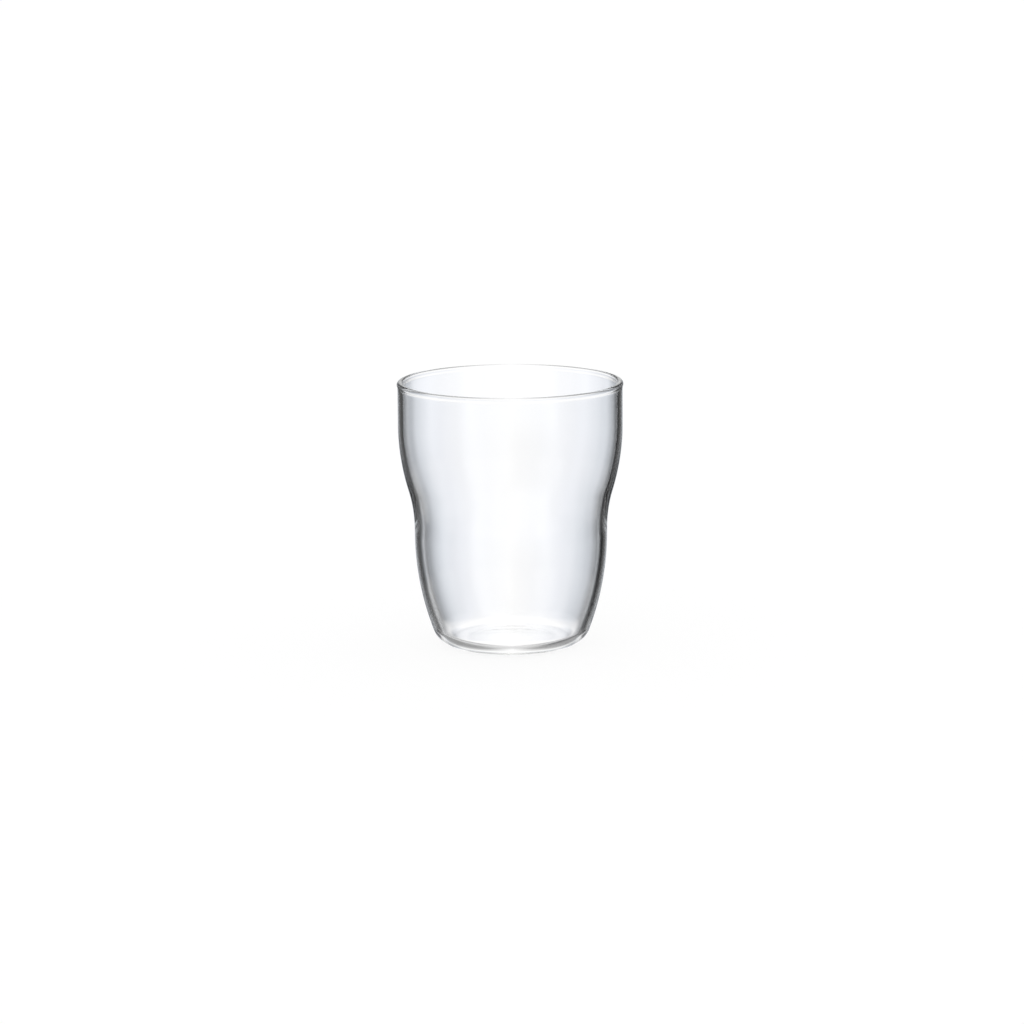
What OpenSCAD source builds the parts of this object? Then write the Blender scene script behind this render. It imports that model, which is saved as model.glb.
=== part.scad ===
// Two-tier cortado glass: one piece of clear glass, turned about Z.
// Lengths are in millimetres. The origin is where the axis meets the table.

/* [Outside] */
// Height from the table to the top of the lip
glass_h = 82.6; // [74:0.2:96]
// Outside diameter of the straight wall under the lip
mouth_d = 69.6; // [64:0.2:78]
// How far the wall steps in from the mouth to the waist between the two tiers
shoulder_step = 4.85; // [2:0.05:9]
// How far the lower wall draws in from the waist to the edge of the flat foot
lower_step = 12; // [9:0.05:16]
// Height of the straight wall, lip included
mouth_h = 13.2; // [5:0.2:24]
// Height of the waist above the table, where the hollow neck ends
waist_z = 36.4; // [28:0.2:46]
// Straight length of the waist under the neck
waist_h = 1.2; // [0.6:0.2:8]
// Share of the shoulder's double curve that bends as the hollow neck
neck_share = 0.37; // [0.2:0.01:0.7]
// Radius of the heel between the lower wall and the foot
heel_r = 6.9; // [4:0.1:9]

/* [Wall] */
// Thickness of the wall under the lip
lip_wall = 1.55; // [1:0.05:3]
// Thickness of the wall at the waist
waist_wall = 2.2; // [1.4:0.1:4]
// Thickness of the wall across the heel, at 45 degrees
heel_wall = 2.5; // [1.8:0.1:4]
// Thickness of the floor
floor_t = 2.2; // [1.6:0.1:5]
// How far the inside waist lies below the outside one
waist_drop = 0.8; // [0:0.1:4]
// Share of the inside's double curve that bends as the neck
bore_neck_share = 0.4; // [0.2:0.01:0.7]
// Radius of the corner between the inside wall and the floor
corner_r = 5.5; // [2.5:0.1:6.5]

/* [Lip] */
// How far the rounded lip stands proud of both faces of the wall
lip_proud = 0.2; // [0.05:0.05:0.5]
// Radius of the hollow that leads from the lip into the wall
lip_blend_r = 3; // [0.5:0.1:5]

/* [Underside] */
// Width of the flat ring that the glass stands on
ring_w = 4; // [1:0.1:8]
// Depth of the shallow hollow inside that ring, at its centre
push_up_h = 0.2; // [0.1:0.05:1]

/* [Hidden] */
$fn = 240;
// Arcs that touch are drawn larger by this much, so that they cross and leave no gap
lap = 0.001;

mouth_r = mouth_d / 2;
waist_r = mouth_r - shoulder_step;
foot_r = waist_r - lower_step;
shoulder_z = glass_h - mouth_h;

// Inside of the glass, worked out from the outside and the wall
bore_r = mouth_r - lip_wall;
bore_waist_r = waist_r - waist_wall;
bore_waist_z = waist_z - waist_drop;
heel_lean = heel_r - corner_r - floor_t;
floor_r = foot_r + (heel_r - corner_r - heel_wall) / cos(45) - heel_lean;

// Lip: a round bead on the middle of the wall
bead_r = lip_wall / 2 + lip_proud;
bead_z = glass_h - bead_r;
bead_axis_r = mouth_r - lip_wall / 2;

// Underside: a shallow ball-shaped hollow
push_up_edge_r = foot_r - ring_w;
push_up_r = (pow(push_up_edge_r, 2) + pow(push_up_h, 2)) / (2 * push_up_h);

// Radius of an arc that starts upright, steps in by run over a drop in height,
// and ends inside a smaller arc of radius end_r that starts at the end of the step
function closing_r(run, drop, end_r) =
    (pow(run, 2) + pow(drop, 2) - pow(end_r, 2)) / (2 * (run - end_r));

// Sum of the two radii of a double curve that steps in by run over a drop in height
function double_r(run, drop) = (pow(run, 2) + pow(drop, 2)) / (2 * run);

// Upright slice of the half plane between two heights, from the axis out to reach
module slice(low_z, high_z, reach) {
    translate([0, low_z]) square([reach, high_z - low_z]);
}

// Solid half profile of one face of the glass, from base_z up to top_z:
// round corner, lower wall, waist, hollow neck, shoulder and straight mouth,
// each running into the next with no break
module tier_profile(top_r, top_z, bend_z, neck_r, neck_z, neck_share, foot_r, base_z, round_r) {
    // Lower wall, which closes into the round corner
    wall_z = neck_z - waist_h;
    round_z = base_z + round_r;
    lower_r = closing_r(neck_r - foot_r, wall_z - round_z, round_r);
    lower_a = asin((wall_z - round_z) / (lower_r - round_r));
    lower_z = wall_z - lower_r * sin(lower_a);
    // Hollow neck, which turns into the round shoulder
    curve_r = double_r(top_r - neck_r, bend_z - neck_z);
    hollow_r = curve_r * neck_share;
    shoulder_r = curve_r - hollow_r;
    turn_a = asin((bend_z - neck_z) / curve_r);
    turn_z = neck_z + hollow_r * sin(turn_a);
    reach = top_r + round_r;

    slice(base_z, round_z, foot_r);
    intersection() {
        slice(base_z, round_z, reach);
        translate([foot_r, round_z]) circle(round_r + 2 * lap);
    }
    intersection() {
        slice(lower_z, neck_z, reach);
        translate([neck_r - lower_r, wall_z]) circle(lower_r + lap);
    }
    slice(wall_z, turn_z, neck_r);
    difference() {
        slice(neck_z, turn_z, reach);
        translate([neck_r + hollow_r, neck_z]) circle(hollow_r + lap);
    }
    intersection() {
        slice(neck_z, top_z, reach);
        translate([top_r - shoulder_r, bend_z]) circle(shoulder_r + lap);
    }
    slice(bend_z, top_z, top_r);
}

// Round lip with a hollow lead-in on both faces of the wall
module lip_profile() {
    lead_x = lip_wall / 2 + lip_blend_r;
    lead_h = sqrt(pow(bead_r + lip_blend_r, 2) - pow(lead_x, 2));
    translate([bead_axis_r, bead_z]) {
        circle(bead_r);
        difference() {
            polygon([[0, 0], [-lead_x, -lead_h], [lead_x, -lead_h]]);
            for (side = [-1, 1])
                translate([side * lead_x, -lead_h]) circle(lip_blend_r + lap);
        }
    }
}

// The whole glass: outside less inside, lip on top, hollow underneath
module tumbler() {
    color([0.86, 0.91, 0.94, 0.45])
    rotate_extrude() {
        difference() {
            tier_profile(mouth_r, bead_z, shoulder_z, waist_r, waist_z, neck_share,
                foot_r, 0, heel_r);
            tier_profile(bore_r, glass_h, shoulder_z, bore_waist_r, bore_waist_z, bore_neck_share,
                floor_r, floor_t, corner_r);
            translate([0, push_up_h - push_up_r]) circle(push_up_r);
        }
        lip_profile();
    }
}

tumbler();
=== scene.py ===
import math

import bpy
from mathutils import Matrix, Vector


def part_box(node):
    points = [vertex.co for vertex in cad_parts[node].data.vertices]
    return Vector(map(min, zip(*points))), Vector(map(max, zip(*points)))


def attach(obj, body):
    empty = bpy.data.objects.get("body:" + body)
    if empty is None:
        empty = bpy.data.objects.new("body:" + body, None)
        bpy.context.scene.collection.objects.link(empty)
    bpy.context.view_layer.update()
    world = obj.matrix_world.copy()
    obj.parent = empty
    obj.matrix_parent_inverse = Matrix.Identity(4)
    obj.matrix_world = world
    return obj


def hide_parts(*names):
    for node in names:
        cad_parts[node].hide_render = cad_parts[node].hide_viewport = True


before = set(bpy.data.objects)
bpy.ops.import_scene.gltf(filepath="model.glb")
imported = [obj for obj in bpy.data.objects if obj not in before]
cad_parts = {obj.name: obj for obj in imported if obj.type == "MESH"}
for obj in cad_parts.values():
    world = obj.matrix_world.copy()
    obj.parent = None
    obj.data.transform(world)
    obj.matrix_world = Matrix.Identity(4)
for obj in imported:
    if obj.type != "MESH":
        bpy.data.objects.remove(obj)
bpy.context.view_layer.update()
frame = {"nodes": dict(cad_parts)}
print("frame loaded:", ", ".join(frame["nodes"]))

scene = bpy.context.scene
mm = 0.001

# sockets of the Mix node for colours, by place, because several of them share a name
mixShare, mixFirst, mixSecond, mixResult = 0, 6, 7, 2


def hexLinear(code):
    # sRGB hex to the linear colour that the nodes take
    parts = [int(code[i:i + 2], 16) / 255 for i in (0, 2, 4)]
    return [c / 12.92 if c <= 0.04045 else ((c + 0.055) / 1.055) ** 2.4 for c in parts] + [1]


def addNode(tree, kind, inputs=None, **settings):
    # one node: its settings first, then each input by a value or by a link from another socket
    node = tree.nodes.new(kind)
    for name, value in settings.items():
        setattr(node, name, value)
    for key, value in (inputs or {}).items():
        if isinstance(value, bpy.types.NodeSocket):
            tree.links.new(value, node.inputs[key])
        else:
            node.inputs[key].default_value = value
    return node


# borosilicate glass, blown in a mould and fire-polished: water-clear, with slow waves left by
# the mould that bend what shows through, and a trace of grey-green where the wall is seen edge on
glassLook = {
    "colour": "FFFFFF",
    "ior": 1.473,
    "roughness": 0.0,
    "waveSize": 22,  # mm from crest to crest
    "waveDepth": 0.004,  # mm
    "waveDetail": 1,
    "edgeColour": "E9EBE4",
    "edgeDensity": 4,  # per metre
}


def borosilicateGlass(look):
    material = bpy.data.materials.new("borosilicateGlassFirePolished")
    material.use_nodes = True
    tree = material.node_tree
    tree.nodes.clear()
    place = addNode(tree, "ShaderNodeTexCoord")
    waves = addNode(tree, "ShaderNodeTexNoise", {
        "Vector": place.outputs["Object"],
        "Scale": 1 / (look["waveSize"] * mm),
        "Detail": look["waveDetail"],
    })
    bump = addNode(tree, "ShaderNodeBump", {
        "Height": waves.outputs["Fac"],
        "Strength": 1,
        "Distance": look["waveDepth"] * mm,
    })
    glass = addNode(tree, "ShaderNodeBsdfPrincipled", {
        "Base Color": hexLinear(look["colour"]),
        "Roughness": look["roughness"],
        "IOR": look["ior"],
        "Transmission Weight": 1,
        "Normal": bump.outputs["Normal"],
    })
    depth = addNode(tree, "ShaderNodeVolumeAbsorption", {
        "Color": hexLinear(look["edgeColour"]),
        "Density": look["edgeDensity"],
    })
    addNode(tree, "ShaderNodeOutputMaterial", {
        "Surface": glass.outputs["BSDF"],
        "Volume": depth.outputs["Volume"],
    })
    return material


# the tumbler, in mm: its height and lip width come from the frame, the rest are the real sizes
low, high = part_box("tumbler")
tumbler = {
    "glassHeight": (high[2] - low[2]) / mm,
    "lipDiameter": (high[0] - low[0]) / mm,
    "lipProud": 0.2,  # the round lip stands out from both faces of the wall
    "lipBlend": 3,  # radius of the hollow under the lip
    "lipWall": 1.55,
    "mouthHeight": 13.2,
    "shoulderStep": 4.85,  # from the mouth in to the waist
    "waistHeight": 36.4,
    "waistLength": 1.2,
    "waistWall": 2.2,
    "waistDrop": 0.8,  # the inside waist lies this much lower
    "neckShare": 0.37,  # how much of the shoulder's double curve is the hollow neck
    "boreNeckShare": 0.4,
    "lowerStep": 12,  # from the waist in to the foot
    "heelRadius": 6.9,
    "heelWall": 2.5,  # across the heel, at 45 degrees
    "floorThickness": 2.2,
    "cornerRadius": 5.5,
    "ringWidth": 4,  # flat ring that the glass stands on
    "pushUp": 0.2,  # depth of the hollow inside that ring
    "stepsRound": 256,
    "stepLength": 0.8,  # along the outline
    "stepsPerRadian": 16,  # on tight bends
    "leastSteps": 6,  # in any bend
    "railRadius": 100,  # circle that the outline hangs from while it is turned
    "weld": 0.002,  # closes the mesh on the axis
}


def arc(centre, radius, start, end):
    # points along an arc, angles in degrees from straight out, with the start left off
    turn = math.radians(abs(end - start))
    steps = max(tumbler["leastSteps"], math.ceil(radius * turn / tumbler["stepLength"]),
                math.ceil(turn * tumbler["stepsPerRadian"]))
    angles = [math.radians(start + (end - start) * i / steps) for i in range(1, steps + 1)]
    return [(centre[0] + radius * math.cos(a), centre[1] + radius * math.sin(a)) for a in angles]


def straight(start, end):
    # points along a line, with the start left off
    steps = max(1, math.ceil(math.dist(start, end) / tumbler["stepLength"]))
    return [tuple(a + (b - a) * i / steps for a, b in zip(start, end)) for i in range(1, steps + 1)]


def tierFace(topR, bendZ, neckR, neckZ, neckShare, footR, baseZ, cornerR, size):
    # one face of the glass from the edge of its flat up to the straight mouth
    wallZ = neckZ - size["waistLength"]
    run, drop = neckR - footR, wallZ - baseZ - cornerR
    lowerR = (run ** 2 + drop ** 2 - cornerR ** 2) / (2 * (run - cornerR))
    lowerTurn = math.degrees(math.asin(drop / (lowerR - cornerR)))
    step, rise = topR - neckR, bendZ - neckZ
    curveR = (step ** 2 + rise ** 2) / (2 * step)
    hollowR = curveR * neckShare
    shoulderR = curveR - hollowR
    bend = math.degrees(math.asin(rise / curveR))
    points = arc((footR, baseZ + cornerR), cornerR, -90, -lowerTurn)
    points += arc((neckR - lowerR, wallZ), lowerR, -lowerTurn, 0)
    points += straight((neckR, wallZ), (neckR, neckZ))
    points += arc((neckR + hollowR, neckZ), hollowR, 180, 180 - bend)
    points += arc((topR - shoulderR, bendZ), shoulderR, -bend, 0)
    return points


def tumblerOutline(size):
    # from the middle of the floor up the inside, over the lip, down the outside and under the foot
    mouthR = size["lipDiameter"] / 2 - size["lipProud"]
    waistR = mouthR - size["shoulderStep"]
    footR = waistR - size["lowerStep"]
    bendZ = size["glassHeight"] - size["mouthHeight"]
    boreR = mouthR - size["lipWall"]
    boreWaistR = waistR - size["waistWall"]
    boreWaistZ = size["waistHeight"] - size["waistDrop"]
    cornerGap = size["heelRadius"] - size["cornerRadius"]
    floorR = footR + (cornerGap - size["heelWall"]) * math.sqrt(2) - cornerGap + size["floorThickness"]
    inside = [(0, size["floorThickness"])]
    inside += straight(inside[0], (floorR, size["floorThickness"]))
    inside += tierFace(boreR, bendZ, boreWaistR, boreWaistZ, size["boreNeckShare"], floorR,
                       size["floorThickness"], size["cornerRadius"], size)
    outside = [(footR, 0)]
    outside += tierFace(mouthR, bendZ, waistR, size["waistHeight"], size["neckShare"], footR,
                        0, size["heelRadius"], size)

    # round lip with a hollow lead-in on both faces
    beadR = size["lipWall"] / 2 + size["lipProud"]
    beadZ = size["glassHeight"] - beadR
    beadX = mouthR - size["lipWall"] / 2
    blend = size["lipBlend"]
    leadX = size["lipWall"] / 2 + blend
    leadZ = math.sqrt((beadR + blend) ** 2 - leadX ** 2)
    lean = math.degrees(math.atan2(leadZ, leadX))
    lip = straight(inside[-1], (boreR, beadZ - leadZ))
    lip += arc((beadX - leadX, beadZ - leadZ), blend, 0, lean)
    lip += arc((beadX, beadZ), beadR, 180 + lean, -lean)
    lip += arc((beadX + leadX, beadZ - leadZ), blend, 180 - lean, 180)
    lip += straight((mouthR, beadZ - leadZ), outside[-1])

    # flat ring and the shallow hollow inside it
    ringR = footR - size["ringWidth"]
    hollowR = (ringR ** 2 + size["pushUp"] ** 2) / (2 * size["pushUp"])
    hollowTurn = math.degrees(math.asin(ringR / hollowR))
    under = straight((footR, 0), (ringR, 0))
    under += arc((0, size["pushUp"] - hollowR), hollowR, 90 - hollowTurn, 90)
    return inside + lip + outside[-2::-1] + under


def latheTree():
    # turns the outline, given as a chain of edges, once round the upright axis
    tree = bpy.data.node_groups.new("latheRound", "GeometryNodeTree")
    for name, kind in (("Outline", "NodeSocketGeometry"), ("Steps Round", "NodeSocketInt"),
                       ("Rail Radius", "NodeSocketFloat"), ("Weld", "NodeSocketFloat"),
                       ("Glass", "NodeSocketMaterial")):
        tree.interface.new_socket(name, in_out="INPUT", socket_type=kind)
    tree.interface.new_socket("Mesh", in_out="OUTPUT", socket_type="NodeSocketGeometry")
    given = addNode(tree, "NodeGroupInput").outputs
    outline = addNode(tree, "GeometryNodeMeshToCurve", {"Mesh": given["Outline"]})
    rail = addNode(tree, "GeometryNodeCurvePrimitiveCircle", {
        "Resolution": given["Steps Round"],
        "Radius": given["Rail Radius"],
    })
    turned = addNode(tree, "GeometryNodeCurveToMesh", {
        "Curve": rail.outputs["Curve"],
        "Profile Curve": outline.outputs["Curve"],
    })
    welded = addNode(tree, "GeometryNodeMergeByDistance", {
        "Geometry": turned.outputs["Mesh"],
        "Distance": given["Weld"],
    })
    smooth = addNode(tree, "GeometryNodeSetShadeSmooth", {"Geometry": welded.outputs["Geometry"]})
    real = addNode(tree, "GeometryNodeRealizeInstances", {"Geometry": smooth.outputs["Geometry"]})
    dressed = addNode(tree, "GeometryNodeSetMaterial", {
        "Geometry": real.outputs["Geometry"],
        "Material": given["Glass"],
    })
    addNode(tree, "NodeGroupOutput", {"Mesh": dressed.outputs["Geometry"]})
    return tree


def turnTumbler(size, material):
    outline = tumblerOutline(size)
    railRadius = size["railRadius"]
    chain = bpy.data.meshes.new("tumblerOutline")
    chain.from_pydata([((r - railRadius) * mm, -z * mm, 0) for r, z in outline],
                      [(i, i + 1) for i in range(len(outline) - 1)], [])
    holder = bpy.data.objects.new("tumblerOutline", chain)
    scene.collection.objects.link(holder)
    lathe = holder.modifiers.new("lathe", "NODES")
    tree = latheTree()
    lathe.node_group = tree
    sockets = {item.name: item.identifier for item in tree.interface.items_tree}
    lathe[sockets["Steps Round"]] = size["stepsRound"]
    lathe[sockets["Rail Radius"]] = railRadius * mm
    lathe[sockets["Weld"]] = size["weld"] * mm
    lathe[sockets["Glass"]] = material
    made = holder.evaluated_get(bpy.context.evaluated_depsgraph_get())
    mesh = bpy.data.meshes.new_from_object(made)
    mesh.name = "tumbler_glass"
    bpy.data.objects.remove(holder)
    glass = bpy.data.objects.new("tumbler_glass", mesh)
    scene.collection.objects.link(glass)
    return glass


tumblerGlass = turnTumbler(tumbler, borosilicateGlass(glassLook))
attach(tumblerGlass, "root")
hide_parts("tumbler")
print("tumbler turned:", len(tumblerGlass.data.polygons), "faces")


# white studio: a white table, and a cloth wherever a camera looks through the glass, white in its
# middle and grey at its sides; the black flags beside it draw the dark lines along the wall
studio = {
    "cloths": ((0, 1), (-46, 0.7), (-90, 0.85), (135, 1)),  # bearing from +Y, share of the full width
    "reach": 60,  # degrees from a cloth's middle to the end of its tones
    "mirrorShare": 0.5,  # how much of the other cloths shows in reflections
    "floorTone": "D4D4D4",  # straight down
    # rings from the floor up: the heights in degrees that each fades in between, and its tones by
    # degrees from the middle of a cloth
    "rings": (
        # table close to the glass
        (-78, -52, ((0, "FCFCFC"), (8, "D6D6D6"), (16, "989898"), (32, "868686"), (42, "505050"),
                    (60, "EEEFF2"))),
        # rest of the table, between the feet of the flags
        (-38, -24, ((0, "FFFFFF"), (9, "FCFCFC"), (12, "D4D5D6"), (16, "909194"), (20, "484848"),
                    (25, "1C1C1C"), (40, "1C1C1C"), (50, "F0F2F6"))),
        # cloth beyond the table's edge, between the flags
        (-20.5, -17.8, ((0, "FCFCFC"), (3, "EEF0F5"), (6, "D3D7DD"), (9, "B2B6BC"), (12, "989BA0"),
                        (16, "505050"), (27, "505050"), (31, "1C1C1C"), (40, "1C1C1C"),
                        (52, "E0E4EA"))),
        # cloth above the flags
        (-6, 12, ((0, "FFFFFF"), (6, "F8F8F8"), (16, "9A9A9D"), (20, "8C8D90"), (60, "84868A"))),
        # soft box overhead
        (30, 60, ((0, "FFFFFF"), (60, "909194"))),
    ),
    "gain": 1.1,  # strength of the cloths and the table
    "backdrop": "FFFFFF",
    "backdropLight": 1,  # white to the camera
    "plainLight": 0.9,  # on matt surfaces
}


def studioWorld(look):
    world = bpy.data.worlds.new("whiteStudio")
    world.use_nodes = True
    scene.world = world
    tree = world.node_tree
    tree.nodes.clear()
    rays = addNode(tree, "ShaderNodeLightPath")
    place = addNode(tree, "ShaderNodeTexCoord")
    way = addNode(tree, "ShaderNodeSeparateXYZ", {"Vector": place.outputs["Generated"]})
    turn = addNode(tree, "ShaderNodeMath", {
        0: way.outputs["X"],
        1: way.outputs["Y"],
    }, operation="ARCTAN2")

    # how far each way lies from the middle of each cloth, as a share of its reach, and of the
    # nearest one
    gaps = []
    for bearing, width in look["cloths"]:
        off = addNode(tree, "ShaderNodeMath", {
            0: turn.outputs["Value"],
            1: math.radians(bearing),
        }, operation="SUBTRACT")
        gap = addNode(tree, "ShaderNodeMath", {
            0: off.outputs["Value"],
            1: math.pi,
        }, operation="PINGPONG")
        gaps.append(addNode(tree, "ShaderNodeMath", {
            0: gap.outputs["Value"],
            1: math.radians(look["reach"] * width),
        }, operation="DIVIDE"))
    nearest = gaps[0]
    for gap in gaps[1:]:
        nearest = addNode(tree, "ShaderNodeMath", {
            0: nearest.outputs["Value"],
            1: gap.outputs["Value"],
        }, operation="MINIMUM")

    # light that comes straight through sees every cloth, reflections see all but the first fainter
    others = addNode(tree, "ShaderNodeMapRange", {
        "Value": rays.outputs["Glossy Depth"],
        "To Min": 1,
        "To Max": look["mirrorShare"],
    })
    around = hexLinear(look["floorTone"])
    for lowest, full, tones in look["rings"]:
        ramps = []
        for gap in (gaps[0], nearest):
            ramp = addNode(tree, "ShaderNodeValToRGB", {"Fac": gap.outputs["Value"]})
            stops = ramp.color_ramp.elements
            while len(stops) < len(tones):
                stops.new(0.5)  # moved to its place below
            for stop, (at, tone) in zip(stops, tones):
                stop.position = at / look["reach"]
                stop.color = hexLinear(tone)
            ramps.append(ramp)
        ring = addNode(tree, "ShaderNodeMix", {
            mixShare: others.outputs["Result"],
            mixFirst: ramps[0].outputs["Color"],
            mixSecond: ramps[1].outputs["Color"],
        }, data_type="RGBA")
        rise = addNode(tree, "ShaderNodeMapRange", {
            "Value": way.outputs["Z"],
            "From Min": math.sin(math.radians(lowest)),
            "From Max": math.sin(math.radians(full)),
        }, interpolation_type="SMOOTHSTEP")
        around = addNode(tree, "ShaderNodeMix", {
            mixShare: rise.outputs["Result"],
            mixFirst: around,
            mixSecond: ring.outputs[mixResult],
        }, data_type="RGBA").outputs[mixResult]

    # the camera sees the backdrop, mirrors and glass see the cloths, matt surfaces get plain light
    cloths = addNode(tree, "ShaderNodeBackground", {"Color": around, "Strength": look["gain"]})
    backdrop = addNode(tree, "ShaderNodeBackground", {
        "Color": hexLinear(look["backdrop"]),
        "Strength": look["backdropLight"],
    })
    plain = addNode(tree, "ShaderNodeBackground", {
        "Color": hexLinear(look["backdrop"]),
        "Strength": look["plainLight"],
    })
    seen = addNode(tree, "ShaderNodeMath", {
        0: rays.outputs["Is Glossy Ray"],
        1: rays.outputs["Is Transmission Ray"],
    }, operation="MAXIMUM")
    lit = addNode(tree, "ShaderNodeMixShader", {
        0: seen.outputs["Value"],
        1: plain.outputs["Background"],
        2: cloths.outputs["Background"],
    })
    shown = addNode(tree, "ShaderNodeMixShader", {
        0: rays.outputs["Is Camera Ray"],
        1: lit.outputs["Shader"],
        2: backdrop.outputs["Background"],
    })
    addNode(tree, "ShaderNodeOutputWorld", {"Surface": shown.outputs["Shader"]})


# matt white acrylic, lit from below: white with a faint shadow round the foot; light that has met
# the glass passes it and sees the studio
floorLook = {
    "halfWidth": 5,  # m
    "gap": 0.1,  # mm under the foot, so that the two faces don't share a plane
    "colour": "FFFFFF",
    "glow": 0.9,
    "shadowShare": 0.12,  # light that comes from above, which the shadow takes away
}


def studioFloor(look):
    reach = look["halfWidth"]
    floorZ = -look["gap"] * mm
    corners = [(x * reach, y * reach, floorZ) for x, y in ((-1, -1), (1, -1), (1, 1), (-1, 1))]
    mesh = bpy.data.meshes.new("studioFloor")
    mesh.from_pydata(corners, [], [(0, 1, 2, 3)])
    floor = bpy.data.objects.new("studioFloor", mesh)
    scene.collection.objects.link(floor)
    material = bpy.data.materials.new("mattWhiteAcrylicLit")
    material.use_nodes = True
    tree = material.node_tree
    tree.nodes.clear()
    rays = addNode(tree, "ShaderNodeLightPath")
    glow = addNode(tree, "ShaderNodeEmission", {
        "Color": hexLinear(look["colour"]),
        "Strength": look["glow"],
    })
    matt = addNode(tree, "ShaderNodeBsdfDiffuse", {"Color": [look["shadowShare"]] * 3 + [1]})
    both = addNode(tree, "ShaderNodeAddShader", {0: glow.outputs["Emission"], 1: matt.outputs["BSDF"]})
    clear = addNode(tree, "ShaderNodeBsdfTransparent")
    through = addNode(tree, "ShaderNodeMath", {
        0: rays.outputs["Is Glossy Ray"],
        1: rays.outputs["Is Transmission Ray"],
    }, operation="MAXIMUM")
    shown = addNode(tree, "ShaderNodeMixShader", {
        0: through.outputs["Value"],
        1: both.outputs["Shader"],
        2: clear.outputs["BSDF"],
    })
    addNode(tree, "ShaderNodeOutputMaterial", {"Surface": shown.outputs["Shader"]})
    mesh.materials.append(material)


studioWorld(studio)
studioFloor(floorLook)
print("studio ready")


view = {
    "target": (0.354, 0, 41.25),  # mm
    "distance": 1120,  # mm
    "elevation": 10.96,  # degrees
    "roll": -0.373,  # degrees
    "lens": 126.65,  # mm
    "sensor": 36,  # mm
    "lightBounces": 64,  # light is led a long way along the wall and the floor of the glass
}


def studioCamera(look):
    data = bpy.data.cameras.new("studioCamera")
    data.sensor_width = look["sensor"]
    data.lens = look["lens"]
    camera = bpy.data.objects.new("studioCamera", data)
    scene.collection.objects.link(camera)
    tilt = math.radians(look["elevation"])
    back = Vector((0, -math.cos(tilt), math.sin(tilt)))
    spin = (-back).to_track_quat("-Z", "Y").to_matrix()
    spin = spin @ Matrix.Rotation(math.radians(look["roll"]), 3, "Z")
    place = (Vector(look["target"]) + back * look["distance"]) * mm
    camera.matrix_world = Matrix.Translation(place) @ spin.to_4x4()
    scene.camera = camera


studioCamera(view)
scene.view_settings.view_transform = "Standard"
scene.cycles.max_bounces = view["lightBounces"]
scene.cycles.glossy_bounces = view["lightBounces"]
scene.cycles.transmission_bounces = view["lightBounces"]
print("camera placed")
